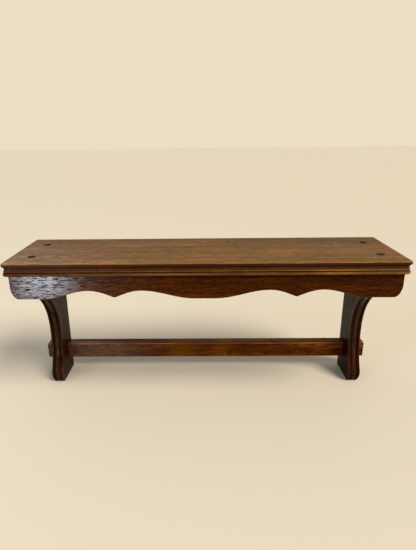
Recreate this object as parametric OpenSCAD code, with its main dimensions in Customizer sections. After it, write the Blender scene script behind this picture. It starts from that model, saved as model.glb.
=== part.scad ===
// Wall shelf for plates. A top board with a moulded edge lies on two S-curved side
// brackets. A scalloped apron hangs under its front edge, a lower rail is let into the
// backs of the brackets, and a hanging rail under the top takes the wall screws.
// Millimetres, +Z up, front towards -Y. The origin is the middle of the footprint, on
// the surface that the shelf stands on.

/* [Overall] */
// Width of the top board
top_w = 610; // [560:1:900]
// Depth of the top board, front to back
top_d = 160; // [150:1:220]
// Height of the top surface above the surface that the shelf stands on
shelf_h = 256; // [235:1:330]
// Thickness of the top board
top_t = 19; // [17:0.5:26]

/* [Top board edge] */
// Height of the rounded nose at the top of the edge
nose_h = 4.8; // [3:0.1:7]
// How far the nose rounds back, above and below
nose_round = 1.8; // [0.8:0.1:3]
// Height of the flat step under the nose
step_h = 1.2; // [0.5:0.1:2.5]
// Setback of the step from the nose
step_in = 2.4; // [1:0.1:4]
// Height of the cove under the step
cove_h = 7.5; // [5:0.1:9]
// Depth of the cove behind a straight line across its mouth
cove_depth = 1.5; // [0.5:0.1:2.5]
// Setback of the lip at the bottom of the cove
lip_in = 1.8; // [0.8:0.1:3]
// Height of the groove between the cove and the bottom bead
quirk_h = 0.9; // [0.4:0.1:1.5]
// Setback of the bottom of that groove
quirk_in = 2.8; // [2:0.1:4]
// Setback of the bottom bead's crest, behind the nose
bead_in = 0.9; // [0:0.1:2]
// How far the bottom bead rounds back, above and below
bead_round = 1.5; // [0.5:0.1:2.5]

/* [Apron] */
// Thickness of the apron
apron_t = 11; // [9:0.5:18]
// Height of the apron at its ends and its middle
apron_h = 38.3; // [32:0.1:48]
// Setback of the apron's face behind the nose
apron_setback = 7.3; // [5:0.1:12]
// Distance from each end of the top board to the end of the apron
apron_inset = 8.5; // [5:0.5:18]
// Rise of the four arches above the apron's lower edge
arch_rise = 13; // [4:0.1:16]
// Height of the two cusps above the apron's lower edge
cusp_rise = 2.3; // [0:0.1:4]
// Straight length at each end of the lower edge, with its rounded corner
end_flat = 48.5; // [35:0.5:60]
// Length of the slope from that straight to the outer arch
end_slope = 69.5; // [40:0.5:80]
// Distance from the crest of an arch to the cusp beside it
arch_half = 40.2; // [30:0.5:48]
// Half of the rounded point of a cusp
cusp_round = 3.5; // [1:0.1:6]
// Straight length in the middle of the lower edge
belly_flat = 32; // [10:1:60]
// Width of the rounded lower corner at each end
corner_w = 12; // [5:0.5:20]
// Height of that corner
corner_h = 20; // [8:0.5:26]

/* [Brackets] */
// Thickness of a bracket
bracket_t = 20; // [18:0.5:28]
// Distance from each end of the top board to the bracket's outer face
bracket_inset = 23; // [14:0.5:40]
// Height of the bracket's front end, where it meets the apron
tip_h = 31; // [24:0.1:36]
// Slope of the front edge where it leaves the apron, in degrees below level
tip_slope = 24.1; // [5:0.1:40]
// Reach of the front edge's curve from the apron
tip_reach = 53.8; // [35:0.1:62]
// Depth of the bracket at its waist
waist_d = 50; // [42:0.1:60]
// Height of the waist
waist_h = 94; // [85:0.5:115]
// Reach of the curve above the waist
waist_reach_up = 65.4; // [40:0.1:75]
// Reach of the curve below the waist
waist_reach_down = 60; // [30:0.5:65]
// Depth of the foot at its toe
toe_d = 66.5; // [58:0.5:76]
// Height of the toe's foremost point
toe_h = 11; // [8:0.5:22]
// Reach of the curve above the toe
toe_reach = 6; // [3:0.5:20]
// How far the underside of the toe rounds back
toe_round = 5.5; // [4.5:0.1:8]

/* [Bracket edge moulding] */
// Width of the flat fillet along each side of the front edge
fillet_w = 3.8; // [2.5:0.1:5]
// Width of the groove beside each fillet
groove_w = 1.1; // [0.5:0.1:2]
// Depth of that groove
groove_depth = 1.6; // [0.5:0.1:2.5]
// Depth of the bead's crest between the grooves, behind the fillets
bead_depth = 0.2; // [0.1:0.1:0.5]
// Bevel of the front edge's outer corners
edge_bevel = 0.7; // [0.3:0.1:1.5]

/* [Rails] */
// Height of the lower rail
rail_h = 28; // [20:0.5:40]
// Thickness of the lower rail, front to back
rail_t = 22; // [16:0.5:28]
// Height of the lower rail's underside above the floor
rail_z = 28.3; // [20:0.1:45]
// How far the lower rail passes each bracket
rail_overhang = 19.5; // [5:0.5:30]
// Height of the hanging rail
hanging_h = 70; // [50:1:80]
// Thickness of the hanging rail
hanging_t = 25; // [18:0.5:30]

/* [Wall screw holes] */
// Distance between the two wall screws
wall_pitch = 406.4; // [300:0.1:480]
// Diameter of a wall screw hole
wall_hole_d = 5.2; // [4:0.1:7]
// Diameter of its countersink at the front
wall_sink_d = 10.4; // [8:0.1:13]

/* [Plugs and screws] */
// Diameter of a plug in the top
plug_d = 12.7; // [10:0.1:16]
// Length of a plug
plug_l = 8; // [5:0.5:9]
// Distance from the front of the top board to the front plugs
plug_front = 44.8; // [40:0.1:60]
// Distance from the front of the top board to the rear plugs
plug_rear = 120.7; // [95:0.1:125]
// Clearance round a plug
plug_gap = 0.05; // [0.02:0.01:0.1]
// Length of the screws under the plugs
top_screw_l = 38; // [30:1:42]
// Length of the screws through the lower rail
rail_screw_l = 45; // [38:1:50]
// Diameter of the screws
screw_d = 4.2; // [3.5:0.1:5]
// Diameter of their countersunk heads
screw_head_d = 8.4; // [7:0.1:9.5]
// Clearance round the screws and dowels
fit_gap = 0.1; // [0.05:0.01:0.2]

/* [Dowels and blocks] */
// Diameter of the dowels in the hanging rail
dowel_d = 8; // [6:0.5:10]
// Length of those dowels
dowel_l = 32; // [24:1:36]
// How far those dowels enter a bracket
dowel_in = 13; // [10:0.5:14]
// Distance between the two dowels at each end
dowel_pitch = 40; // [24:1:46]
// Diameter of the dowels in the apron
apron_dowel_d = 6; // [5:0.5:8]
// Length of those dowels
apron_dowel_l = 24; // [18:1:30]
// How far those dowels enter the apron
apron_dowel_in = 7; // [5:0.5:8]
// Height of those dowels below the top board
apron_dowel_drop = 15; // [10:0.5:18]
// Width and height of the glue blocks behind the apron
block_w = 15; // [10:0.5:18]
// Length of a glue block
block_l = 50; // [30:1:80]

/* [Hidden] */

LEFT = -1;
RIGHT = 1;

// Smoothness: steps of each round, and facets of each hole and pin
arc_steps = 8;
curve_steps = 16;
bead_steps = 6;
hole_fn = 48;
over = 1;                  // how far a cut passes the face that it opens

// Main planes
y_front = -top_d / 2;
y_back = top_d / 2;
z_under = shelf_h - top_t;
y_apron_face = y_front + apron_setback;
y_apron_back = y_apron_face + apron_t;
bracket_x = top_w / 2 - bracket_inset - bracket_t / 2;
inner_x = bracket_x - bracket_t / 2;
outer_x = bracket_x + bracket_t / 2;

// Lower edge of the apron, from its end to the middle
apron_half = top_w / 2 - apron_inset;
slope_x = apron_half - end_flat;
outer_arch_x = slope_x - end_slope;
cusp_x = outer_arch_x - arch_half;
inner_arch_x = cusp_x - arch_half;
belly_x = belly_flat / 2;

// Rails and what goes through them
rail_half = outer_x + rail_overhang;
rail_mid_z = rail_z + rail_h / 2;
y_rail = y_back - rail_t;
y_hanging = y_back - hanging_t;
hanging_mid_y = y_back - hanging_t / 2;
hanging_mid_z = z_under - hanging_h / 2;
wall_sink_h = (wall_sink_d - wall_hole_d) / 2;

// Screws, plugs and dowels
screw_head_h = (screw_head_d - screw_d) / 2;
screw_tip_h = 1.5 * screw_d;
recess_w = screw_d / 5;
recess_h = screw_head_h / 2;
dowel_chamfer = 0.8;
end_room = 1;              // empty end of a dowel's or a screw's hole
apron_dowel_z = z_under - apron_dowel_drop;

// ---- Curves ----

function mix(a, b, s) = a + (b - a) * s;

// Half an ellipse in the edge of a board: setback and depth below the top
function half_round(crest, round, top, height) = [
    for (i = [0 : arc_steps])
        let (a = 180 * i / arc_steps)
        [crest + round * (1 - sin(a)), top + height * (1 - cos(a)) / 2]
];

cove_top = nose_h + step_h;
quirk_top = cove_top + cove_h;
bead_top = quirk_top + quirk_h;

// The moulded edge from top to bottom: setback from the nose, and depth below the top
edge_profile = concat(
    half_round(0, nose_round, 0, nose_h),
    [[step_in, nose_h]],
    [for (i = [0 : arc_steps])
        let (s = i / arc_steps)
        [mix(step_in, lip_in, s) + cove_depth * sin(180 * s), cove_top + cove_h * s]],
    [[quirk_in, quirk_top], [quirk_in, bead_top]],
    half_round(bead_in, bead_round, bead_top, top_t - bead_top)
);

// How far the apron's lower edge rises at a distance x from the middle
cusp_slope = 90 * (arch_rise - cusp_rise) / arch_half * PI / 180;
cusp_pad = cusp_slope * cusp_round / 2;

function ease(s) = (1 - cos(180 * s)) / 2;
function cusp_side(u) = cusp_rise - cusp_pad
    + (arch_rise - cusp_rise + cusp_pad) * sin(90 * u / arch_half);
function cusp(u) = u >= cusp_round
    ? cusp_side(u)
    : cusp_side(cusp_round) - cusp_pad * (1 - pow(u / cusp_round, 2));
function lower_edge(x) =
    x > slope_x ? 0 :
    x > outer_arch_x ? arch_rise * ease((slope_x - x) / (slope_x - outer_arch_x)) :
    x > inner_arch_x ? cusp(abs(x - cusp_x)) :
    x > belly_x ? arch_rise * ease((x - belly_x) / (inner_arch_x - belly_x)) :
    0;

function steps_between(a, b, n) = [for (i = [0 : n - 1]) mix(a, b, i / n)];

// Where the lower edge is drawn, from the middle outwards
edge_x = concat(
    steps_between(belly_x, inner_arch_x, curve_steps),
    steps_between(inner_arch_x, cusp_x - cusp_round, arc_steps),
    steps_between(cusp_x - cusp_round, cusp_x + cusp_round, arc_steps),
    steps_between(cusp_x + cusp_round, outer_arch_x, arc_steps),
    steps_between(outer_arch_x, slope_x, curve_steps),
    [slope_x]
);

// Right half of the apron's outline, from the middle of its lower edge to its top
apron_side = concat(
    [for (x = edge_x) [x, lower_edge(x) - apron_h]],
    [for (i = [0 : arc_steps])
        let (a = 90 * i / arc_steps)
        [apron_half - corner_w * (1 - sin(a)), corner_h * (1 - cos(a)) - apron_h]],
    [[apron_half, 0]]
);

// Front edge of a bracket, from the apron down to the floor
tip = [y_apron_back, z_under - tip_h];
waist = [y_back - waist_d, waist_h];
toe = [y_back - toe_d, toe_h];

function bezier(a, b, c, d, s) =
    pow(1 - s, 3) * a + 3 * pow(1 - s, 2) * s * b + 3 * (1 - s) * s * s * c + pow(s, 3) * d;
function upper_curve(s) = bezier(
    tip, tip + tip_reach * [cos(tip_slope), -sin(tip_slope)],
    waist + [0, waist_reach_up], waist, s);
function lower_curve(s) = bezier(
    waist, waist - [0, waist_reach_down], toe + [0, toe_reach], toe, s);
function toe_curve(s) = toe + [toe_round * (1 - cos(90 * s)), -toe_h * sin(90 * s)];

front_edge = concat(
    [for (i = [0 : curve_steps]) upper_curve(i / curve_steps)],
    [for (i = [1 : curve_steps]) lower_curve(i / curve_steps)],
    [for (i = [1 : arc_steps]) toe_curve(i / arc_steps)]
);
last = len(front_edge) - 1;

function inward(v) = [-v[1], v[0]] / norm(v);

// The way of a cutter along that edge: point and inward normal. It starts ahead of the
// apron's back and leaves through the sole
start = front_edge[0] - front_edge[1];
cutter_path = concat(
    [[front_edge[0] + start, inward(-start)], [front_edge[0], inward(-start)]],
    [for (i = [1 : last - 1])
        [front_edge[i], inward(front_edge[i + 1] - front_edge[i - 1])]],
    [[front_edge[last], [0, 1]],
        [front_edge[last] + [2 * groove_depth, -groove_depth - over], [0, 1]]]
);

// Sections of those cutters: place across the edge, and depth into it
half_t = bracket_t / 2;
groove_x = half_t - fillet_w;
bead_x = groove_x - groove_w;
moulding = concat(
    [[-groove_x, groove_depth]],
    [for (i = [0 : 2 * bead_steps])
        let (a = 90 * (i / bead_steps - 1))
        [bead_x * sin(a), mix(groove_depth, bead_depth, cos(a))]],
    [[groove_x, groove_depth]]
);
bevel = [[half_t - edge_bevel - over, -over], [half_t + over, edge_bevel + over]];
far_bevel = [for (i = [1, 0]) [-bevel[i][0], bevel[i][1]]];

// ---- Shared pieces ----

// A countersunk wood screw, head up, its head's face at the origin
module wood_screw(length) {
    color([0.72, 0.68, 0.58])
    difference() {
        rotate_extrude($fn = hole_fn)
            polygon([
                [0, 0], [screw_head_d / 2, 0], [screw_d / 2, -screw_head_h],
                [screw_d / 2, screw_tip_h - length], [0, -length]
            ]);
        for (turn = [0, 90])
            rotate([0, 0, turn])
                translate([-screw_d / 2, -recess_w / 2, -recess_h])
                    cube([screw_d, recess_w, recess_h + over]);
    }
}

// The hole for such a screw, with its countersink
module screw_hole(length) {
    rotate_extrude($fn = hole_fn)
        polygon([
            [0, over], [screw_head_d / 2 + fit_gap, over], [screw_head_d / 2 + fit_gap, 0],
            [screw_d / 2 + fit_gap, -screw_head_h],
            [screw_d / 2 + fit_gap, -length - end_room], [0, -length - end_room]
        ]);
}

// A dowel along +Z with chamfered ends
module dowel(d, length) {
    color([0.78, 0.62, 0.42])
    rotate_extrude($fn = hole_fn)
        polygon([
            [0, 0], [d / 2 - dowel_chamfer, 0], [d / 2, dowel_chamfer],
            [d / 2, length - dowel_chamfer], [d / 2 - dowel_chamfer, length], [0, length]
        ]);
}

module dowel_hole(d, length) {
    translate([0, 0, -end_room])
        cylinder(h = length + 2 * end_room, d = d + 2 * fit_gap, $fn = hole_fn);
}

// Places: a plug's middle on the top, a lower rail screw's head, a dowel's start
module at_plug(side, from_front) {
    translate([side * bracket_x, y_front + from_front, shelf_h]) children();
}

module at_rail_screw(side) {
    translate([side * bracket_x, y_back, rail_mid_z]) rotate([-90, 0, 0]) children();
}

module at_rail_dowel(side, level) {
    translate([side * (inner_x + dowel_in), hanging_mid_y,
        hanging_mid_z + level * dowel_pitch / 2])
        rotate([0, -90 * side, 0]) children();
}

module at_apron_dowel(side) {
    translate([side * bracket_x, y_apron_back - apron_dowel_in, apron_dowel_z])
        rotate([-90, 0, 0]) children();
}

module at_wall_screw(side) {
    translate([side * wall_pitch / 2, y_hanging, hanging_mid_z])
        rotate([90, 0, 0]) children();
}

// ---- The pieces ----

module top_board() {
    front = [for (p = edge_profile) [y_front + p[0], shelf_h - p[1]]];
    ends = [for (p = edge_profile) [top_w / 2 - p[0], shelf_h - p[1]]];
    back_to_front = [for (i = [len(ends) - 1 : -1 : 0]) [-ends[i][0], ends[i][1]]];
    color([0.36, 0.25, 0.16])
    difference() {
        intersection() {
            translate([-top_w / 2, 0, 0]) rotate([90, 0, 90]) linear_extrude(top_w)
                polygon(concat(front, [[y_back, z_under], [y_back, shelf_h]]));
            translate([0, y_back, 0]) rotate([90, 0, 0]) linear_extrude(top_d)
                polygon(concat(ends, back_to_front));
        }
        for (side = [LEFT, RIGHT], place = [plug_front, plug_rear])
            at_plug(side, place) {
                translate([0, 0, -plug_l])
                    cylinder(h = plug_l + over, d = plug_d + 2 * plug_gap, $fn = hole_fn);
                translate([0, 0, -plug_l]) screw_hole(top_screw_l);
            }
    }
}

module plug(side, place) {
    color([0.09, 0.06, 0.05])
    at_plug(side, place)
        translate([0, 0, -plug_l]) cylinder(h = plug_l, d = plug_d, $fn = hole_fn);
}

module top_screw(side, place) {
    at_plug(side, place) translate([0, 0, -plug_l]) wood_screw(top_screw_l);
}

module apron() {
    other_side = [for (i = [len(apron_side) - 1 : -1 : 0])
        [-apron_side[i][0], apron_side[i][1]]];
    color([0.27, 0.13, 0.06])
    difference() {
        translate([0, y_apron_back, z_under]) rotate([90, 0, 0]) linear_extrude(apron_t)
            polygon(concat(apron_side, other_side));
        for (side = [LEFT, RIGHT])
            at_apron_dowel(side) dowel_hole(apron_dowel_d, apron_dowel_l);
    }
}

// What a section takes off along the front edge of a bracket: each ring of points runs
// across it at the section's depth, and back across it ahead of the wood
module edge_cutter(section) {
    count = len(section);
    rings = [for (step = cutter_path, ahead = [0, 1], k = [0 : count - 1])
        let (p = section[ahead == 0 ? k : count - 1 - k],
            at = step[0] + (ahead == 0 ? p[1] : -2 * over) * step[1])
        [p[0], at[0], at[1]]];
    round = 2 * count;
    end = (len(cutter_path) - 1) * round;
    sides = [
        for (i = [0 : len(cutter_path) - 2], k = [0 : round - 1])
            let (a = i * round + k, b = i * round + (k + 1) % round)
            each [[a, b + round, b], [a, a + round, b + round]]
    ];
    ends = [
        for (k = [0 : count - 2])
            let (a = k, b = k + 1, c = round - 2 - k, d = round - 1 - k)
            each [[a, b, c], [a, c, d], [end + a, end + c, end + b], [end + a, end + d, end + c]]
    ];
    polyhedron(rings, concat(sides, ends));
}

module bracket(side) {
    color([0.25, 0.15, 0.08])
    difference() {
        translate([side * bracket_x - half_t, 0, 0])
            rotate([90, 0, 90]) linear_extrude(bracket_t)
                polygon(concat(front_edge, [[y_back, 0], [y_back, z_under], [tip[0], z_under]]));
        translate([side * bracket_x, 0, 0]) {
            edge_cutter(moulding);
            edge_cutter(bevel);
            edge_cutter(far_bevel);
        }
        translate([side * bracket_x - half_t - over, y_rail, rail_z])
            cube([bracket_t + 2 * over, rail_t + over, rail_h]);
        for (place = [plug_front, plug_rear])
            at_plug(side, place) translate([0, 0, -plug_l]) screw_hole(top_screw_l);
        at_rail_screw(side) screw_hole(rail_screw_l);
        for (level = [-1, 1])
            at_rail_dowel(side, level) dowel_hole(dowel_d, dowel_l);
        at_apron_dowel(side) dowel_hole(apron_dowel_d, apron_dowel_l);
    }
}

module lower_rail() {
    color([0.30, 0.19, 0.10])
    difference() {
        translate([-rail_half, y_rail, rail_z]) cube([2 * rail_half, rail_t, rail_h]);
        for (side = [LEFT, RIGHT])
            at_rail_screw(side) screw_hole(rail_screw_l);
    }
}

module hanging_rail() {
    color([0.30, 0.19, 0.10])
    difference() {
        translate([-inner_x, y_hanging, z_under - hanging_h])
            cube([2 * inner_x, hanging_t, hanging_h]);
        for (side = [LEFT, RIGHT]) {
            for (level = [-1, 1])
                at_rail_dowel(side, level) dowel_hole(dowel_d, dowel_l);
            at_wall_screw(side) {
                translate([0, 0, -hanging_t - over])
                    cylinder(h = hanging_t + 2 * over, d = wall_hole_d, $fn = hole_fn);
                translate([0, 0, -wall_sink_h])
                    cylinder(h = wall_sink_h + over, d1 = wall_hole_d,
                        d2 = wall_sink_d + 2 * over, $fn = hole_fn);
            }
        }
    }
}

module rail_screw(side) {
    at_rail_screw(side) wood_screw(rail_screw_l);
}

module rail_dowel(side, level) {
    at_rail_dowel(side, level) dowel(dowel_d, dowel_l);
}

module apron_dowel(side) {
    at_apron_dowel(side) dowel(apron_dowel_d, apron_dowel_l);
}

// A corner block behind the apron, with its long arris cut off
module glue_block(x) {
    flat = block_w / 3;
    color([0.62, 0.47, 0.30])
    translate([x - block_l / 2, y_apron_back, z_under])
        rotate([90, 0, 90]) linear_extrude(block_l)
            polygon([[0, 0], [0, -block_w], [flat, -block_w], [block_w, -flat], [block_w, 0]]);
}

top_board();
apron();
bracket(LEFT);  // left_bracket
bracket(RIGHT);  // right_bracket
lower_rail();
hanging_rail();
plug(LEFT, plug_front);  // plug_front_left
plug(RIGHT, plug_front);  // plug_front_right
plug(LEFT, plug_rear);  // plug_rear_left
plug(RIGHT, plug_rear);  // plug_rear_right
top_screw(LEFT, plug_front);  // top_screw_front_left
top_screw(RIGHT, plug_front);  // top_screw_front_right
top_screw(LEFT, plug_rear);  // top_screw_rear_left
top_screw(RIGHT, plug_rear);  // top_screw_rear_right
rail_screw(LEFT);  // rail_screw_left
rail_screw(RIGHT);  // rail_screw_right
rail_dowel(LEFT, 1);  // rail_dowel_upper_left
rail_dowel(LEFT, -1);  // rail_dowel_lower_left
rail_dowel(RIGHT, 1);  // rail_dowel_upper_right
rail_dowel(RIGHT, -1);  // rail_dowel_lower_right
apron_dowel(LEFT);  // apron_dowel_left
apron_dowel(RIGHT);  // apron_dowel_right
glue_block(-cusp_x);  // glue_block_left
glue_block(0);  // glue_block_centre
glue_block(cusp_x);  // glue_block_right
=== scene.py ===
import math

import bmesh
import bpy
from mathutils import Euler, Matrix, Vector


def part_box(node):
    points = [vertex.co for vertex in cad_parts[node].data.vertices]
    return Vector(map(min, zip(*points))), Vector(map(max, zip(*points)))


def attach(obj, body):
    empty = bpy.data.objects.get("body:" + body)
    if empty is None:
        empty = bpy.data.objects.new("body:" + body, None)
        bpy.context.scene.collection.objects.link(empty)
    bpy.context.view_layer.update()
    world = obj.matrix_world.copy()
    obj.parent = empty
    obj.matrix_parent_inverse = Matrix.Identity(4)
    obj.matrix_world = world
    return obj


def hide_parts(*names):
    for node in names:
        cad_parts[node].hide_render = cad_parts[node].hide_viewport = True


mm = 0.001
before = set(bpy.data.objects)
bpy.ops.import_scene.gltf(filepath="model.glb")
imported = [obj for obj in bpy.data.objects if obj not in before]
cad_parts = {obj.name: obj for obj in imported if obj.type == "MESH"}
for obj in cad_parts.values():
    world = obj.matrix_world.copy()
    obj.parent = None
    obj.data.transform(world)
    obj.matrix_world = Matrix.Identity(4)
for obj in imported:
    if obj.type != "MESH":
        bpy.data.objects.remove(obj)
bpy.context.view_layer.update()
scene = bpy.context.scene
scene.view_settings.view_transform = "Standard"
print("stage: frame loaded,", len(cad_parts), "nodes")


# camera, placed as for the photograph

view = {
    "place": Vector((-0.0060, -0.6907, 0.4396)),
    "yaw": -0.859,            # degrees, positive turns to the right
    "pitch": 18.194,          # degrees below level
    "roll": -0.645,
    "focalPixels": 436.0,
    "frameWidth": 416,
    "frameHeight": 550,
    "axisColumn": 195.1,      # image column that the optical axis meets
    "sensor": 36.0,
    "clip": (0.01, 100.0),
}


def addCamera():
    data = bpy.data.cameras.new("camera")
    camera = bpy.data.objects.new("camera", data)
    scene.collection.objects.link(camera)
    data.sensor_width = view["sensor"]
    data.lens = view["sensor"] * view["focalPixels"] / view["frameHeight"]
    data.shift_x = (view["frameWidth"] / 2 - view["axisColumn"]) / view["frameHeight"]
    data.clip_start, data.clip_end = view["clip"]
    turn = Euler((math.radians(90 - view["pitch"]), 0, math.radians(-view["yaw"])))
    spin = Matrix.Rotation(math.radians(view["roll"]), 4, "Z")
    camera.matrix_world = Matrix.Translation(view["place"]) @ turn.to_matrix().to_4x4() @ spin
    scene.camera = camera


addCamera()
print("stage: camera")


# helpers for node trees, in materials and in geometry

def feed(tree, socket, value):
    if isinstance(value, bpy.types.NodeSocket):
        tree.links.new(value, socket)
    else:
        socket.default_value = value


def addNode(tree, kind, settings=None, **inputs):
    node = tree.nodes.new(kind)
    for key, value in (settings or {}).items():
        setattr(node, key, value)
    for key, value in inputs.items():
        feed(tree, node.inputs[key.replace("_", " ")], value)
    return node


def calc(tree, operation, *values, clamp=False):
    node = addNode(tree, "ShaderNodeMath", {"operation": operation, "use_clamp": clamp})
    for socket, value in zip(node.inputs, values):
        feed(tree, socket, value)
    return node.outputs[0]


def vectorCalc(tree, operation, *values, scale=None):
    node = addNode(tree, "ShaderNodeVectorMath", {"operation": operation})
    for socket, value in zip(node.inputs, values):
        feed(tree, socket, value)
    if scale is not None:
        feed(tree, node.inputs["Scale"], scale)
    return node.outputs["Value" if operation in ("DOT_PRODUCT", "LENGTH") else "Vector"]


def span(tree, value, low, high, toLow=0.0, toHigh=1.0, smooth=False):
    node = addNode(tree, "ShaderNodeMapRange",
                   {"interpolation_type": "SMOOTHSTEP" if smooth else "LINEAR"},
                   Value=value, From_Min=low, From_Max=high, To_Min=toLow, To_Max=toHigh)
    return node.outputs[0]


# helpers for meshes

cutterPast = 1 * mm       # how far a cutter reaches beyond the face it opens
easedMiddle = 0.3         # the middle of an eased corner, as a share of its size
easing = {"steps": 4, "firstBend": 4, "endGrime": 0.4}    # firstBend is in degrees


def asObject(name, mesh):
    piece = bpy.data.objects.new(name, mesh)
    scene.collection.objects.link(piece)
    return piece


def asMesh(name, bm):
    mesh = bpy.data.meshes.new(name)
    bm.to_mesh(mesh)
    bm.free()
    return mesh


def inMetres(sizes):
    # lengths in millimetres become metres, and whole numbers are counts
    return {label: value if isinstance(value, int) else value * mm
            for label, value in sizes.items()}


def fade(distance, reach):
    # one where the distance is nothing, down to nothing at the reach
    return max(0.0, 1 - distance / reach)


def applyModifiers(piece):
    graph = bpy.context.evaluated_depsgraph_get()
    graph.update()
    mesh = bpy.data.meshes.new_from_object(piece.evaluated_get(graph), depsgraph=graph)
    piece.modifiers.clear()
    old, piece.data = piece.data, mesh
    bpy.data.meshes.remove(old)
    mesh.name = piece.name


def loftRings(name, rings, masks, flatBack=False):
    # rings of equal length joined by quads, with a flat cap at both ends; where the rings
    # all start and end on one plane, a single face closes that side
    bm = bmesh.new()
    made = [[bm.verts.new(point) for point in ring] for ring in rings]
    count = len(rings[0])
    for one, two in zip(made, made[1:]):
        for k in range(count - 1 if flatBack else count):
            bm.faces.new((one[k], one[(k + 1) % count], two[(k + 1) % count], two[k]))
    if flatBack:
        bm.faces.new([ring[0] for ring in made] + [ring[-1] for ring in reversed(made)])
    bm.faces.new(made[0])
    bm.faces.new(made[-1])
    bmesh.ops.recalc_face_normals(bm, faces=bm.faces)
    mesh = asMesh(name, bm)
    for mask, values in masks.items():
        layer = mesh.attributes.new(mask, "FLOAT", "POINT")
        layer.data.foreach_set("value", values)
    return asObject(name, mesh)


def cut(piece, cutters):
    for cutter in cutters:
        boolean = piece.modifiers.new("cut", "BOOLEAN")
        boolean.object = cutter
        boolean.solver = "EXACT"
    applyModifiers(piece)
    for cutter in cutters:
        bpy.data.objects.remove(cutter)


def finishMesh(piece, sharpAngle=38):
    bm = bmesh.new()
    bm.from_mesh(piece.data)
    bmesh.ops.remove_doubles(bm, verts=bm.verts, dist=0.002 * mm)
    bmesh.ops.recalc_face_normals(bm, faces=bm.faces)
    bm.to_mesh(piece.data)
    bm.free()
    piece.data.shade_smooth()
    piece.data.set_sharp_from_angle(angle=math.radians(sharpAngle))
    weighted = piece.modifiers.new("weighted normals", "WEIGHTED_NORMAL")
    weighted.keep_sharp = True
    applyModifiers(piece)


def place(piece, material, nodes):
    piece.data.materials.clear()
    piece.data.materials.append(material)
    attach(piece, "root")
    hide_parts(*nodes)


def boxOutline(low, high):
    return [(low.y, low.z), (high.y, low.z), (high.y, high.z), (low.y, high.z)]


def easedPrism(name, outline, left, right, ease):
    # a bar along X with every arris rounded, from a convex outline of (y, z)
    corners = []
    for i, point in enumerate(outline):
        here = Vector(point)
        before = (Vector(outline[i - 1]) - here).normalized()
        after = (Vector(outline[(i + 1) % len(outline)]) - here).normalized()
        half = before.angle(after) / 2
        centre = here + (before + after).normalized() * ease / math.sin(half)
        start = here + before * ease / math.tan(half) - centre
        turn = math.pi - 2 * half
        if start.x * after.y - start.y * after.x < 0:
            turn = -turn
        corners.append((centre, math.atan2(start.y, start.x), turn))

    steps, first = easing["steps"], easing["firstBend"]
    bends = [math.radians(first + (90 - first) * k / steps) for k in range(steps + 1)]
    stations = [(left + ease * (1 - math.cos(bend)), bend) for bend in bends]
    stations += [(right - ease * (1 - math.cos(bend)), bend) for bend in reversed(bends)]
    rings, wearAndHighlight, stainAndShade = [], [], []
    for x, bend in stations:
        radius = ease * math.sin(bend)
        ring = []
        sawn = bend == bends[0]         # the flat end, where the open end grain is darker
        for centre, begin, turn in corners:
            for k in range(steps + 1):
                angle = begin + turn * k / steps
                ring.append((x, centre.x + radius * math.cos(angle),
                             centre.y + radius * math.sin(angle)))
                # wear and a painted highlight along each rounded arris
                wearAndPaintedLight = max(math.sin(2 * bend), math.sin(math.pi * k / steps))
                wearAndHighlight.append(0.0 if sawn else wearAndPaintedLight)
                stainAndShade.append(easing["endGrime"] if sawn else 0.0)
        rings.append(ring)
    return loftRings(name, rings, {"wearAndHighlight": wearAndHighlight, "stainAndShade": stainAndShade})


def cylinder(name, radius, start, end, farRadius=None, sides=48):
    # a plain cutter along the line from start to end
    axis = Vector(end) - Vector(start)
    bm = bmesh.new()
    bmesh.ops.create_cone(bm, cap_ends=True, segments=sides, radius1=radius,
                          radius2=radius if farRadius is None else farRadius, depth=axis.length)
    mesh = asMesh(name, bm)
    turn = axis.to_track_quat("Z", "Y").to_matrix().to_4x4()
    mesh.transform(Matrix.Translation((Vector(start) + Vector(end)) / 2) @ turn)
    return asObject(name, mesh)


def countersink(x, face, z, radius, inward, point):
    # a cone cutter that opens on the face across Y; inward is the way into the wood, 1 or -1
    return cylinder("sink", radius + cutterPast, (x, face - inward * cutterPast, z),
                    (x, face + inward * radius, z), farRadius=point)


def block(name, low, high):
    # a plain box cutter from one corner to the other
    bm = bmesh.new()
    bmesh.ops.create_cube(bm, size=1.0)
    mesh = asMesh(name, bm)
    mesh.transform(Matrix.Translation((low + high) / 2) @ Matrix.Diagonal((*(high - low), 1)))
    return asObject(name, mesh)


# materials

noiseRange = (0.3, 0.7)       # most of a noise lies between these two
grainNoises = {
    "streaks": {"Detail": 5.0, "Roughness": 0.6, "Distortion": 0.4},
    "fibres": {"Detail": 3.0, "Roughness": 0.6},
    "pores": {"Detail": 2.0, "Roughness": 0.5},
    "patches": {"Detail": 3.0, "Roughness": 0.55},
}
varnishBreaks = {"clouds": (0.35, 0.65, 0.6, 1.0), "fibres": (0.35, 0.6, 0.4, 1.0)}
markEdge = {"noise": 900.0, "ragged": 0.4, "softFrom": 0.5}


def mixColour(tree, factor, first, second, blend="MIX"):
    node = addNode(tree, "ShaderNodeMix", {"data_type": "RGBA", "blend_type": blend})
    for index, value in {0: factor, 6: first, 7: second}.items():     # sockets for colours
        feed(tree, node.inputs[index], (*value, 1.0) if isinstance(value, tuple) else value)
    return node.outputs[2]


def grainNoise(tree, grain, stretch, noise):
    # noise drawn out along the grain: stretch is its frequency per metre along and across
    along, across = stretch
    scaled = addNode(tree, "ShaderNodeMapping", Vector=grain, Scale=(along, across, across))
    return addNode(tree, "ShaderNodeTexNoise", Vector=scaled.outputs[0], Scale=1.0,
                   **noise).outputs[0]


def newMaterial(name):
    material = bpy.data.materials.new(name)
    material.use_nodes = True
    tree = material.node_tree
    shader = next(n for n in tree.nodes if n.type == "BSDF_PRINCIPLED")
    return material, tree, shader


def addBump(tree, shader, height, look):
    bump = addNode(tree, "ShaderNodeBump", Height=height, Strength=look["bump"],
                   Distance=look["bumpDepth"])
    feed(tree, shader.inputs["Normal"], bump.outputs[0])


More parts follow.
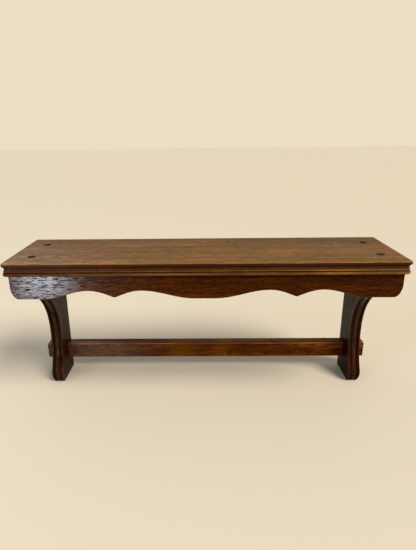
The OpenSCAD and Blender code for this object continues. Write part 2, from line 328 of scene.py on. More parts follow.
def grainMasks(tree, coords, wood):
    turn = (0, math.pi / 2, 0) if wood["grain"] == "Z" else (0, 0, 0)
    grain = addNode(tree, "ShaderNodeMapping", Vector=coords, Location=wood["offset"],
                    Rotation=turn).outputs[0]
    masks = {key: grainNoise(tree, grain, wood[key], noise)
             for key, noise in grainNoises.items()}
    masks["pores"] = span(tree, masks["pores"], wood["poreLimit"],
                          wood["poreLimit"] + wood["poreEdge"])
    masks["clouds"] = addNode(tree, "ShaderNodeTexNoise", Vector=grain, Scale=wood["cloudScale"],
                              Detail=3.0).outputs[0]
    for key in ("wearAndHighlight", "stainAndShade"):
        masks[key] = addNode(tree, "ShaderNodeAttribute", {"attribute_name": key}).outputs["Fac"]
    return masks


def woodColour(tree, coords, masks, wood):
    ramp = addNode(tree, "ShaderNodeValToRGB", Fac=span(tree, masks["streaks"], *noiseRange))
    ramp.color_ramp.interpolation = "EASE"
    ramp.color_ramp.elements[0].color = (*wood["dark"], 1)
    ramp.color_ramp.elements[1].color = (*wood["light"], 1)
    middle = ramp.color_ramp.elements.new(0.5)
    middle.color = (*wood["middle"], 1)
    clouding = span(tree, masks["clouds"], *wood["cloudRange"], 0.0, wood["clouding"])
    colour = mixColour(tree, clouding, ramp.outputs[0], wood["cloud"])

    contrast = wood["fibreContrast"]
    shade = span(tree, masks["fibres"], *noiseRange, 1 - contrast, 1 + contrast)
    # painted light and shade: the top is made lighter towards its front edge and darker towards
    # its back
    if "wearAndPaintedLight" in wood:
        depth = addNode(tree, "ShaderNodeSeparateXYZ", Vector=coords).outputs["Y"]
        shade = calc(tree, "MULTIPLY", shade, span(tree, depth, *wood["wearAndPaintedLight"]))
    grey = addNode(tree, "ShaderNodeCombineColor", Red=shade, Green=shade, Blue=shade)
    colour = mixColour(tree, 1.0, colour, grey.outputs[0], "MULTIPLY")
    pored = calc(tree, "MULTIPLY", masks["pores"], wood["poreStrength"])
    colour = mixColour(tree, pored, colour, wood["pore"])

    # wear and painted highlight: worn arrises, lips and crests are mixed towards a light colour
    patchy = calc(tree, "MULTIPLY", masks["wearAndHighlight"],
                  span(tree, masks["patches"], *wood["patchRange"]))
    colour = mixColour(tree, calc(tree, "MULTIPLY", patchy, wood["wearAndHighlightAmount"], clamp=True),
                       colour, wood["bareWoodAndHighlight"])
    # stain, and painted shade: recesses and the undersides of the mouldings are darkened
    stainAndShadeColour = mixColour(tree, span(tree, masks["stainAndShade"], wood["stainToShadeAt"], 1.0),
                      wood.get("stainAndShadeColour", wood["pore"]), wood["pore"])
    stainedAndShaded = span(tree, masks["stainAndShade"], 0.0, wood["stainToShadeAt"], 0.0, wood["stainAndShadeCover"])
    colour = mixColour(tree, stainedAndShaded, colour, stainAndShadeColour)
    return addMarks(tree, coords, colour, wood["marks"]) if "marks" in wood else colour


def addMarks(tree, coords, colour, marks):
    # nicks, stains, knots and a painted sheen: an ellipsoid of another colour at each given place
    noise = addNode(tree, "ShaderNodeTexNoise", Vector=coords, Scale=markEdge["noise"]).outputs[0]
    ragged = span(tree, noise, *noiseRange, -markEdge["ragged"], markEdge["ragged"])
    for mark in marks:
        inside = addNode(tree, "ShaderNodeMapping", {"vector_type": "TEXTURE"}, Vector=coords,
                         Location=mark["at"], Rotation=(0, 0, math.radians(mark["turn"])),
                         Scale=tuple(size / 2 for size in mark["size"])).outputs[0]
        reach = calc(tree, "ADD", vectorCalc(tree, "LENGTH", inside), ragged)
        mask = span(tree, reach, 1.0, markEdge["softFrom"], 0.0, mark["strength"])
        colour = mixColour(tree, mask, colour, mark["colour"])
    return colour


def addVarnish(tree, shader, coords, masks, varnish):
    # a clear coat on the handled edges and, where it has a weight, more of it towards one
    # side; open grain breaks it
    weight = calc(tree, "MULTIPLY", masks["wearAndHighlight"], varnish["edges"])
    if "weight" in varnish:
        along = vectorCalc(tree, "DOT_PRODUCT", coords, varnish["along"])
        coat = span(tree, along, *varnish["fade"], 0.0, varnish["weight"], smooth=True)
        cloudy = span(tree, masks["clouds"], *varnishBreaks["clouds"])
        weight = calc(tree, "MAXIMUM", calc(tree, "MULTIPLY", coat, cloudy), weight)
    solid = calc(tree, "SUBTRACT", span(tree, masks["fibres"], *varnishBreaks["fibres"]),
                 calc(tree, "MAXIMUM", masks["pores"], masks["stainAndShade"]))
    feed(tree, shader.inputs["Coat Weight"], calc(
        tree, "MULTIPLY", weight, calc(tree, "MAXIMUM", solid, 0.0), clamp=True))
    shader.inputs["Coat Roughness"].default_value = varnish["roughness"]


def woodMaterial(name, wood):
    material, tree, shader = newMaterial(name)
    coords = addNode(tree, "ShaderNodeTexCoord").outputs["Object"]
    masks = grainMasks(tree, coords, wood)
    feed(tree, shader.inputs["Base Color"], woodColour(tree, coords, masks, wood))
    middle, varies = wood["roughness"], wood["roughnessVaries"]
    rough = calc(tree, "ADD", span(tree, masks["fibres"], *noiseRange, -varies, varies),
                 span(tree, masks["clouds"], *noiseRange, middle - varies, middle + varies))
    feed(tree, shader.inputs["Roughness"], calc(tree, "ADD", rough, calc(
        tree, "MULTIPLY", masks["pores"], wood["poreRoughness"]), clamp=True))
    shader.inputs["Specular IOR Level"].default_value = wood["specular"]
    if "varnish" in wood:
        addVarnish(tree, shader, coords, masks, wood["varnish"])
    raised = calc(tree, "MULTIPLY", masks["fibres"], wood["fibreHeight"])
    addBump(tree, shader, calc(tree, "SUBTRACT", raised, masks["pores"]), wood)
    return material


def zincMaterial(name, look):
    material, tree, shader = newMaterial(name)
    coords = addNode(tree, "ShaderNodeTexCoord").outputs["Object"]
    spots = addNode(tree, "ShaderNodeTexNoise", Vector=coords, Scale=look["spots"],
                    Detail=4.0).outputs[0]
    feed(tree, shader.inputs["Base Color"],
         mixColour(tree, span(tree, spots, *look["dullRange"]), look["metal"], look["dull"]))
    feed(tree, shader.inputs["Roughness"], span(tree, spots, *noiseRange, *look["roughness"]))
    shader.inputs["Metallic"].default_value = 1.0
    addBump(tree, shader, spots, look)
    return material


woodLook = {
    "grain": "X", "offset": (0.0, 0.0, 0.0),
    "dark": (0.042, 0.009, 0.0012), "middle": (0.085, 0.021, 0.002), "light": (0.155, 0.05, 0.006),
    "streaks": (6.0, 90.0),
    "cloud": (0.05, 0.012, 0.002), "clouding": 0.4, "cloudScale": 9.0, "cloudRange": (0.35, 0.7),
    "fibres": (34.0, 480.0), "fibreContrast": 0.65, "fibreHeight": 0.35,
    "pores": (95.0, 900.0), "poreLimit": 0.53, "poreEdge": 0.07, "poreStrength": 0.6,
    "pore": (0.010, 0.003, 0.001), "poreRoughness": 0.15,
    # the light colour is that of bare worn wood, and it also paints the highlights on arrises,
    # lips and crests
    "wearAndHighlightAmount": 1.0, "bareWoodAndHighlight": (0.45, 0.18, 0.03),
    "patches": (14.0, 60.0), "patchRange": (0.38, 0.62, 0.1, 1.0),
    "stainToShadeAt": 0.8, "stainAndShadeCover": 0.95,      # the mask stains up to this level, and beyond it darkens further as painted shade in recesses
    "roughness": 0.36, "roughnessVaries": 0.05, "specular": 0.1,
    "bump": 0.5, "bumpDepth": 0.25 * mm,
}

topLook = {
    **woodLook, "offset": (0.3, 0.12, 0.0),
    "dark": (0.105, 0.041, 0.007), "middle": (0.185, 0.078, 0.015), "light": (0.28, 0.128, 0.028),
    "cloud": (0.14, 0.080, 0.018), "clouding": 0.7, "streaks": (4.0, 60.0),
    "fibreContrast": 0.5, "poreStrength": 0.45,
    # the light colour also paints the moulding's highlights, and the dark one its shade as well as
    # its stain
    "bareWoodAndHighlight": (0.74, 0.33, 0.075), "stainAndShadeColour": (0.05, 0.011, 0.001),
    "roughness": 0.42, "bump": 0.3,
    "varnish": {"along": (1.0, 1.8, 0.0), "fade": (-0.12, -0.40), "weight": 0.9, "edges": 0.0,
                "roughness": 0.4},
    "wearAndPaintedLight": (-0.07, 0.06, 1.3, 0.8),      # painted light and shade: from and to along Y, and the shade painted at the front and at the back of the top
    "marks": [
        {"at": (0.257, -0.053, 0.256), "turn": 60, "size": (5 * mm, 3 * mm, 20 * mm),
         "strength": 0.9, "colour": (0.6, 0.42, 0.24)},
        {"at": (-0.188, -0.06, 0.256), "turn": 40, "size": (10 * mm, 5 * mm, 20 * mm),
         "strength": 0.7, "colour": (0.48, 0.30, 0.16)},
    ],
}

plugNodes = ["plug_front_left", "plug_front_right", "plug_rear_left", "plug_rear_right"]
plugRing = {"turn": 0, "wider": 2.5 * mm, "depth": 20 * mm, "strength": 0.85,
            "colour": (0.02, 0.011, 0.005)}


def plugRings():
    # the dark finish round each plug, a little wider than the plug
    rings = []
    for node in plugNodes:
        low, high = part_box(node)
        around = high.x - low.x + plugRing["wider"]
        rings.append({**plugRing, "at": ((low.x + high.x) / 2, (low.y + high.y) / 2, high.z),
                      "size": (around, around, plugRing["depth"])})
    return rings


apronLook = {
    **woodLook, "offset": (1.1, 0.4, 0.2),
    "dark": (0.045, 0.009, 0.001), "middle": (0.08, 0.019, 0.0015), "light": (0.14, 0.042, 0.004),
    "streaks": (8.0, 150.0), "fibres": (100.0, 850.0), "fibreContrast": 0.6,
    "poreLimit": 0.54, "specular": 0.05, "bump": 0.4,
    "varnish": {"along": (1.0, 0.0, 0.0), "fade": (-0.04, -0.25), "weight": 1.0, "edges": 0.3,
                "roughness": 0.18},
}

bracketLook = {
    **woodLook, "grain": "Z", "offset": (0.5, 0.9, 0.3),
    "dark": (0.016, 0.004, 0.001), "middle": (0.034, 0.008, 0.001), "light": (0.065, 0.018, 0.003),
    "cloud": (0.03, 0.006, 0.001), "wearAndHighlightAmount": 0.45, "bareWoodAndHighlight": (0.22, 0.085, 0.018),
    "roughness": 0.3, "specular": 0.03,
    "varnish": {"edges": 1.0, "roughness": 0.18},
}

railLook = {
    **woodLook, "offset": (0.2, 1.7, 0.6),
    "dark": (0.065, 0.013, 0.0015), "middle": (0.17, 0.044, 0.002), "light": (0.31, 0.105, 0.008),
    # the light colour also paints the highlight along the rail's arrises
    "fibreContrast": 0.8, "bareWoodAndHighlight": (0.75, 0.34, 0.05), "specular": 0.04,
    "varnish": {"along": (1.0, 10.0, 0.0), "fade": (0.56, 0.36), "weight": 1.0, "edges": 0.3,
                "roughness": 0.33},
    "marks": [
        # painted sheen: a greyer patch on the rail's left end stands in for a reflection
        {"at": (-0.22, 0.058, 0.042), "turn": 0, "size": (260 * mm, 16 * mm, 60 * mm),
         "strength": 0.28, "colour": (0.20, 0.155, 0.12)},
        {"at": (-0.045, 0.058, 0.042), "turn": 0, "size": (70 * mm, 80 * mm, 80 * mm),
         "strength": 0.3, "colour": (0.40, 0.14, 0.006)},
        {"at": (0.035, 0.058, 0.042), "turn": 0, "size": (50 * mm, 80 * mm, 80 * mm),
         "strength": 0.25, "colour": (0.38, 0.12, 0.005)},
        {"at": (0.047, 0.058, 0.037), "turn": 0, "size": (13 * mm, 12 * mm, 11 * mm),
         "strength": 0.75, "colour": (0.018, 0.005, 0.001)},
    ],
}

plugLook = {
    **woodLook, "offset": (2.2, 0.3, 0.1),
    "dark": (0.008, 0.006, 0.004), "middle": (0.012, 0.009, 0.006), "light": (0.02, 0.014, 0.01),
    "cloud": (0.01, 0.008, 0.005), "wearAndHighlightAmount": 0.1, "roughness": 0.6, "specular": 0.06,
}

dowelLook = {
    **woodLook, "offset": (0.9, 2.2, 0.4),
    "dark": (0.42, 0.27, 0.14), "middle": (0.5, 0.34, 0.19), "light": (0.58, 0.41, 0.25),
    "cloud": (0.5, 0.33, 0.18), "pore": (0.25, 0.14, 0.07), "poreStrength": 0.3,
    "bareWoodAndHighlight": (0.6, 0.42, 0.25), "roughness": 0.6,
}

blockLook = {
    **dowelLook, "offset": (1.9, 0.2, 2.4),
    "dark": (0.26, 0.15, 0.075), "middle": (0.33, 0.2, 0.1), "light": (0.4, 0.26, 0.14),
    "roughness": 0.7,
}

screwLook = {
    "metal": (0.62, 0.57, 0.46), "dull": (0.33, 0.3, 0.25), "dullRange": (0.4, 0.65),
    "spots": 420.0, "roughness": (0.28, 0.53), "bump": 0.1, "bumpDepth": 0.1 * mm,
}

materials = {
    "top": woodMaterial("topWood", {**topLook, "marks": topLook["marks"] + plugRings()}),
    "apron": woodMaterial("apronWood", apronLook),
    "bracket": woodMaterial("bracketWood", bracketLook),
    "rail": woodMaterial("railWood", railLook),
    "plug": woodMaterial("plugWood", plugLook),
    "dowel": woodMaterial("dowelWood", dowelLook),
    "block": woodMaterial("blockWood", blockLook),
    "screw": zincMaterial("screwZinc", screwLook),
}
print("stage: materials")


# top board: its moulded edge runs along the front and both ends

board = {
    "noseHeight": 4.6, "noseRound": 1.5, "noseFlat": 0.45, "arris": 0.3,
    "noseWear": (0.5, 12, 26),             # wear and painted highlight: how much, and at which degrees of the curve
    # the edge below the arris is darkened, part stain and part painted shade
    "noseStainAndShade": 0.8, "edgeStainAndShade": 0.5, "stepHeight": 1.2, "stepIn": 2.0,
    # how far the cove's painted highlight reaches up from its lip, and its painted shade down from
    # its top, as shares of the cove
    "coveHeight": 6.9, "coveDepth": 0.8, "coveLipWearAndHighlight": 2 / 7, "coveTopShade": 0.25,
    "lipIn": 1.8, "ease": 0.3, "quirkHeight": 1.7, "quirkIn": 3.2,
    # the bead's crest takes wear and a painted highlight; the undersides of nose and bead take
    # painted shade over the given degrees
    "beadIn": 0.9, "beadRound": 1.3, "beadFlat": 0.55, "beadWear": (1.0, 100, 115),
    "undersideShade": 45, "flatIn": 5.0,
    "leftWear": 0.1, "leftStainAndShade": 0.8,     # painted shade: the left end is darker and its painted highlights weaker than the right end's
    "arcSteps": 14, "cornerRadius": 8.5, "cornerSteps": 8, "rearStep": 0.5,
    "pocketDepth": 3.0, "pocketGap": 0.15,
}


def boardProfile(thickness):
    # from the top's flat to the underside: (setback, depth, wear and painted highlight, stain and
    # painted shade), in millimetres
    b = board
    coveTop = b["noseHeight"] + b["stepHeight"]
    quirkTop = coveTop + b["coveHeight"]
    beadTop = quirkTop + b["quirkHeight"]
    steps = b["arcSteps"]
    points = [(b["flatIn"], 0.0, 0.0, 0.0)]

    def halfRound(part, crest, top, height):
        wearAndHighlightAmount, wearAndHighlightAt, wearAndHighlightReach = b[part + "Wear"]
        for k in range(steps + 1):
            angle = math.pi * k / steps
            degrees = math.degrees(angle)
            setback = crest + b[part + "Round"] * (1 - math.sin(angle) ** b[part + "Flat"])
            # wear and a painted highlight around the given angle; painted shade on the half that
            # faces down
            points.append((setback, top + height * (1 - math.cos(angle)) / 2,
                           wearAndHighlightAmount * fade(abs(degrees - wearAndHighlightAt), wearAndHighlightReach),
                           fade(180 - degrees, b["undersideShade"])))

    halfRound("nose", 0.0, 0.0, b["noseHeight"])
    # painted shade in the undercut below the nose
    points.append((b["stepIn"], b["noseHeight"], 0.0, 1.0))
    # the cove: a painted highlight towards its lip, partly wear, and painted shade at its top
    # under the step
    for k in range(steps + 1):
        share = k / steps
        setback = b["stepIn"] + (b["lipIn"] - b["stepIn"]) * share
        points.append((setback + b["coveDepth"] * math.sin(math.pi * share),
                       coveTop + (b["coveHeight"] - b["ease"]) * share,
                       fade(1 - share, b["coveLipWearAndHighlight"]), fade(share, b["coveTopShade"])))
    lipMiddle = easedMiddle * b["ease"]
    # the lip: a painted highlight, partly wear
    points.append((b["lipIn"] + lipMiddle, quirkTop - lipMiddle, 1.0, 0.0))
    points.append((b["lipIn"] + b["ease"], quirkTop, 0.6, 0.2))
    # painted shade in the quirk above the bead
    points.append((b["quirkIn"], quirkTop, 0.0, 1.0))
    points.append((b["quirkIn"], beadTop, 0.0, 1.0))
    halfRound("bead", b["beadIn"], beadTop, thickness - beadTop)
    points.append((b["flatIn"], thickness, 0.0, 0.0))
    return points


def edgeStainAndShade(depth):
    # below the top arris the edge is darkened, part stain and part painted shade; the cove and
    # bead are darkest at the left end, where it is painted shade
    if depth <= board["arris"]:
        return 0.0, 0.0
    if depth < board["noseHeight"] + board["stepHeight"]:
        return board["noseStainAndShade"], board["noseStainAndShade"]
    return board["leftStainAndShade"], board["edgeStainAndShade"]


def buildBoard():
    low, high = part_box("top_board")
    radius, rear = board["cornerRadius"] * mm, high.y - board["rearStep"] * mm
    corner = [math.radians(90 * k / board["cornerSteps"]) for k in range(board["cornerSteps"] + 1)]
    rings, wearAndHighlight, stainAndShade = [], [], []
    for setback, depth, wearAndHighlightHere, stainAndShadeHere in boardProfile((high.z - low.z) / mm):
        s, z = setback * mm, high.z - depth * mm
        left, right, front = low.x + s, high.x - s, low.y + s
        ring = [(left, high.y, z), (left, rear, z)]
        ring += [(left + radius * (1 - math.cos(a)), front + radius * (1 - math.sin(a)), z)
                 for a in corner]
        ring += [(right - radius * (1 - math.sin(a)), front + radius * (1 - math.cos(a)), z)
                 for a in corner]
        ring += [(right, rear, z), (right, high.y, z)]
        rings.append(ring)
        half = len(ring) // 2 - 1
        # painted shade on the left end: darker, with weaker painted highlights
        leftStainAndShade, rightStainAndShade = edgeStainAndShade(depth)
        leftWearAndHighlight = wearAndHighlightHere * board["leftWear"]
        wearAndHighlight += [0.0] + [leftWearAndHighlight] * half + [wearAndHighlightHere] * half + [0.0]
        stainAndShade += [0.0] + [max(stainAndShadeHere, leftStainAndShade * (1 - leftWearAndHighlight))] * half
        stainAndShade += [max(stainAndShadeHere, rightStainAndShade * (1 - wearAndHighlightHere))] * half + [0.0]
    piece = loftRings("shelfBoard", rings, {"wearAndHighlight": wearAndHighlight, "stainAndShade": stainAndShade}, flatBack=True)
    pockets = []
    for node in plugNodes:
        plugLow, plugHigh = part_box(node)
        x, y = (plugLow.x + plugHigh.x) / 2, (plugLow.y + plugHigh.y) / 2
        reach = (plugHigh.x - plugLow.x) / 2 + board["pocketGap"] * mm
        pockets.append(cylinder("pocket", reach, (x, y, high.z - board["pocketDepth"] * mm),
                                (x, y, high.z + cutterPast)))
    cut(piece, pockets)
    finishMesh(piece)
    place(piece, materials["top"], ["top_board"])


buildBoard()
print("stage: top board")


# geometry nodes: a tree with named inputs, run once and turned into a plain mesh

def newTree(name, sizes):
    tree = bpy.data.node_groups.new(name, "GeometryNodeTree")
    for label, value in sizes.items():
        kind = "NodeSocketInt" if isinstance(value, int) else "NodeSocketFloat"
        tree.interface.new_socket(label, in_out="INPUT", socket_type=kind)
    tree.interface.new_socket("Material", in_out="INPUT", socket_type="NodeSocketMaterial")
    tree.interface.new_socket("Geometry", in_out="OUTPUT", socket_type="NodeSocketGeometry")
    given = tree.nodes.new("NodeGroupInput").outputs
    return tree, {socket.name: socket for socket in given if socket.name}


def endTree(tree, geometry, given):
    real = addNode(tree, "GeometryNodeRealizeInstances", Geometry=geometry)
    painted = addNode(tree, "GeometryNodeSetMaterial", Geometry=real.outputs[0],
                      Material=given["Material"])
    finish = tree.nodes.new("NodeGroupOutput")
    tree.links.new(painted.outputs[0], finish.inputs[0])


def runTree(name, tree, sizes, material):
    piece = asObject(name, bpy.data.meshes.new(name))
    modifier = piece.modifiers.new(tree.name, "NODES")
    modifier.node_group = tree
    sockets = {item.name: item.identifier for item in tree.interface.items_tree
               if item.in_out == "INPUT"}
    for label, value in sizes.items():
        modifier[sockets[label]] = value
    modifier[sockets["Material"]] = material
    applyModifiers(piece)
    return piece


# apron: its outline follows a rule, so a node tree draws it

apron = {
    "Height": 38.3, "Arch rise": 13.0, "Cusp rise": 2.3, "End flat": 48.5, "End slope": 69.5,
    "Arch half": 40.2, "Cusp round": 3.5, "Belly half": 16.0, "Corner width": 12.0,
    "Corner height": 20.0, "Ease": 0.9, "Columns": 360, "Ease steps": 4,
}


def apronTree(sizes):
    tree, given = newTree("apron", sizes)
    index = addNode(tree, "GeometryNodeInputIndex").outputs[0]
    columns = given["Columns"]
    half = given["Half length"]

    def add(first, second):
        return calc(tree, "ADD", first, second)

    def minus(first, second):
        return calc(tree, "SUBTRACT", first, second)

    def times(first, second):
        return calc(tree, "MULTIPLY", first, second)

    def atPlace(**axes):
        return addNode(tree, "ShaderNodeCombineXYZ", **axes).outputs[0]

    def moved(geometry, **how):
        return addNode(tree, "GeometryNodeSetPosition", Geometry=geometry, **how).outputs[0]

    share = calc(tree, "DIVIDE", index, minus(columns, 1.0))
    x = times(half, calc(tree, "SINE", times(minus(share, 0.5), math.pi)))
    away = calc(tree, "ABSOLUTE", x)
    slopeAt = minus(half, given["End flat"])
    outerArch = minus(slopeAt, given["End slope"])
    cuspAt = minus(outerArch, given["Arch half"])
    innerArch = minus(cuspAt, given["Arch half"])

    def eased(start, end):
        turn = times(span(tree, away, start, end), math.pi)
        return times(minus(1.0, calc(tree, "COSINE", turn)), 0.5)

    swell = calc(tree, "MINIMUM", eased(slopeAt, outerArch), eased(given["Belly half"], innerArch))
    archHeight = minus(given["Arch rise"], given["Cusp rise"])
    steep = calc(tree, "DIVIDE", times(archHeight, math.pi / 2), given["Arch half"])
    pad = times(times(steep, given["Cusp round"]), 0.5)
    bottom = minus(given["Cusp rise"], pad)
    fromCusp = minus(away, cuspAt)
    blunt = times(given["Cusp round"], 0.5)
    reach = calc(tree, "SQRT", add(times(fromCusp, fromCusp), times(blunt, blunt)))
    arch = calc(tree, "SINE", times(span(tree, reach, 0.0, given["Arch half"]), math.pi / 2))
    scallop = add(bottom, times(arch, minus(given["Arch rise"], bottom)))
    intoCorner = span(tree, away, minus(half, given["Corner width"]), half)
    chord = calc(tree, "SUBTRACT", 1.0, times(intoCorner, intoCorner), clamp=True)
    corner = times(given["Corner height"], minus(1.0, calc(tree, "SQRT", chord)))
    z = minus(add(times(swell, scallop), corner), given["Height"])

    # the last two points are the upper corners
    onTop = calc(tree, "GREATER_THAN", index, minus(columns, 0.5))
    below = minus(1.0, onTop)
    lastPoint = calc(tree, "GREATER_THAN", index, add(columns, 0.5))
    topX = times(half, minus(1.0, times(2.0, lastPoint)))
    outlineX = add(times(onTop, topX), times(below, x))
    points = addNode(tree, "GeometryNodeMeshLine", Count=add(columns, 2.0))
    drawn = moved(points.outputs[0], Position=atPlace(X=outlineX, Y=times(below, z)))
    curve = addNode(tree, "GeometryNodeMeshToCurve", Mesh=drawn)
    outline = addNode(tree, "GeometryNodeSetSplineCyclic", Geometry=curve.outputs[0],
                      Cyclic=True).outputs[0]

    # across the thickness: a line with both ends rounded over
    easeSteps = given["Ease steps"]
    last = add(times(easeSteps, 2.0), 1.0)
    fromEnd = calc(tree, "MINIMUM", index, minus(last, index))
    bend = times(calc(tree, "DIVIDE", fromEnd, easeSteps), math.pi / 2)
    inset = times(given["Ease"], minus(1.0, calc(tree, "SINE", bend)))
    rise = times(given["Ease"], minus(1.0, calc(tree, "COSINE", bend)))
    second = calc(tree, "GREATER_THAN", index, add(easeSteps, 0.5))
    across = add(rise, times(second, minus(given["Thickness"], times(rise, 2.0))))
    sectionPoints = addNode(tree, "GeometryNodeMeshLine", Count=add(last, 1.0))
    sectionDrawn = moved(sectionPoints.outputs[0],
                         Position=atPlace(X=times(inset, -1.0), Y=times(across, -1.0)))
    wearAndHighlight = addNode(tree, "GeometryNodeStoreNamedAttribute",
                   {"data_type": "FLOAT", "domain": "POINT"}, Geometry=sectionDrawn,
                   Name="wearAndHighlight", Value=calc(tree, "SINE", times(bend, 2.0)))
    section = addNode(tree, "GeometryNodeMeshToCurve", Mesh=wearAndHighlight.outputs[0])
    rim = addNode(tree, "GeometryNodeCurveToMesh", Curve=outline,
                  Profile_Curve=section.outputs[0]).outputs[0]

    tangent = addNode(tree, "GeometryNodeInputTangent").outputs[0]
    inward = vectorCalc(tree, "CROSS_PRODUCT", (0, 0, 1), tangent)
    faceLine = moved(outline, Offset=vectorCalc(tree, "SCALE", inward, scale=given["Ease"]))
    face = addNode(tree, "GeometryNodeFillCurve", {"mode": "NGONS"}, Curve=faceLine).outputs[0]
    back = moved(face, Offset=atPlace(Z=given["Thickness"]))
    both = tree.nodes.new("GeometryNodeJoinGeometry")
    for part in (rim, face, back):
        tree.links.new(part, both.inputs[0])
    upright = addNode(tree, "GeometryNodeTransform", Geometry=both.outputs[0],
                      Rotation=(math.pi / 2, 0, 0))
    endTree(tree, upright.outputs[0], given)
    return tree


def buildApron():
    low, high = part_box("apron")
    sizes = inMetres(apron)
    sizes["Half length"] = (high.x - low.x) / 2
    sizes["Thickness"] = high.y - low.y
    piece = runTree("apronBoard", apronTree(sizes), sizes, materials["apron"])
    piece.data.transform(Matrix.Translation(((low.x + high.x) / 2, high.y, high.z)))
    finishMesh(piece)
    place(piece, materials["apron"], ["apron"])


buildApron()
print("stage: apron")


# brackets: an S curve from the apron down to the floor, with a moulding along it

bracket = {
    "tipHeight": 31.0, "tipSlope": 24.1, "tipReach": 53.8, "tipStep": 3.0,
    "waistDepth": 50.0, "waistHeight": 94.0, "reachUp": 65.4, "reachDown": 56.0,
    "toeDepth": 68.0, "toeHeight": 20.0, "toeReach": 6.0, "toeRound": 7.5,
    "lastRing": 0.05, "soleStep": 0.02, "cornerWear": 6.0, "cornerWearHeight": 20.0,
    "bevel": 0.7, "filletWidth": 3.8, "grooveWidth": 1.1, "grooveDepth": 1.6,
    # the bead's crest takes wear and a painted highlight, its sides painted shade
    "grooveEase": 0.3, "grooveCorner": 0.08, "beadDepth": 0.2, "beadWear": 0.6,
    "beadSideShade": 1 / 3, "sideStep": 12.0, "notchGap": 0.1,
    "curveSteps": 40, "toeSteps": 14, "beadSteps": 8,
}


def bezier(a, b, c, d, s):
    return a * (1 - s) ** 3 + b * 3 * s * (1 - s) ** 2 + c * 3 * s * s * (1 - s) + d * s ** 3


def frontEdge(high, tipY):
    b = bracket
    tip = Vector((tipY, high.z - b["tipHeight"] * mm))
    waist = Vector((high.y - b["waistDepth"] * mm, b["waistHeight"] * mm))
    toe = Vector((high.y - b["toeDepth"] * mm, b["toeHeight"] * mm))
    slope = math.radians(b["tipSlope"])
    leave = tip + Vector((math.cos(slope), -math.sin(slope))) * b["tipReach"] * mm
    steps = b["curveSteps"]
    line = [bezier(tip, leave, waist + Vector((0, b["reachUp"] * mm)), waist, k / steps)
            for k in range(steps + 1)]
    line += [bezier(waist, waist - Vector((0, b["reachDown"] * mm)),
                    toe + Vector((0, b["toeReach"] * mm)), toe, k / steps)
             for k in range(1, steps + 1)]
    for k in range(1, b["toeSteps"] + 1):
        angle = math.pi / 2 * k / b["toeSteps"]
        line.append(toe + Vector((b["toeRound"] * (1 - math.cos(angle)),
                                  -b["toeHeight"] * math.sin(angle))) * mm)
    return line


def mouldingSection(half):
    # across the front edge: (place, depth, wear and painted highlight, painted shade), in
    # millimetres
    b = bracket
    grooveAt = half - b["filletWidth"]
    beadAt = grooveAt - b["grooveWidth"]
    bevelMiddle = easedMiddle * b["bevel"]
    # painted highlights along the bevel and the groove's edge, partly wear, and painted shade in
    # the groove
    side = [(half, b["bevel"], 0.2, 0.0),
            (half - bevelMiddle, bevelMiddle, 1.0, 0.0),
            (half - b["bevel"], 0.0, 0.5, 0.0),
            (half - b["filletWidth"] / 2, 0.0, 0.0, 0.0),
            (grooveAt + b["grooveEase"], 0.0, 0.2, 0.0),
            (grooveAt + b["grooveCorner"], b["grooveCorner"], 0.6, 0.0),
            (grooveAt, b["grooveEase"], 0.2, 0.3),
            (grooveAt, b["grooveDepth"], 0.0, 1.0)]
    bead = []
    # the bead: wear and a painted highlight on its crest, painted shade at its sides
    for k in range(2 * b["beadSteps"] + 1):
        angle = math.pi / 2 * (1 - k / b["beadSteps"])
        raised = math.cos(angle)
        depth = b["grooveDepth"] + (b["beadDepth"] - b["grooveDepth"]) * raised
        bead.append((beadAt * math.sin(angle), depth, b["beadWear"] * raised ** 4,
                     fade(raised, b["beadSideShade"])))
    return side + bead + [(-x, depth, wearAndHighlight, stainAndShade) for x, depth, wearAndHighlight, stainAndShade in reversed(side)]


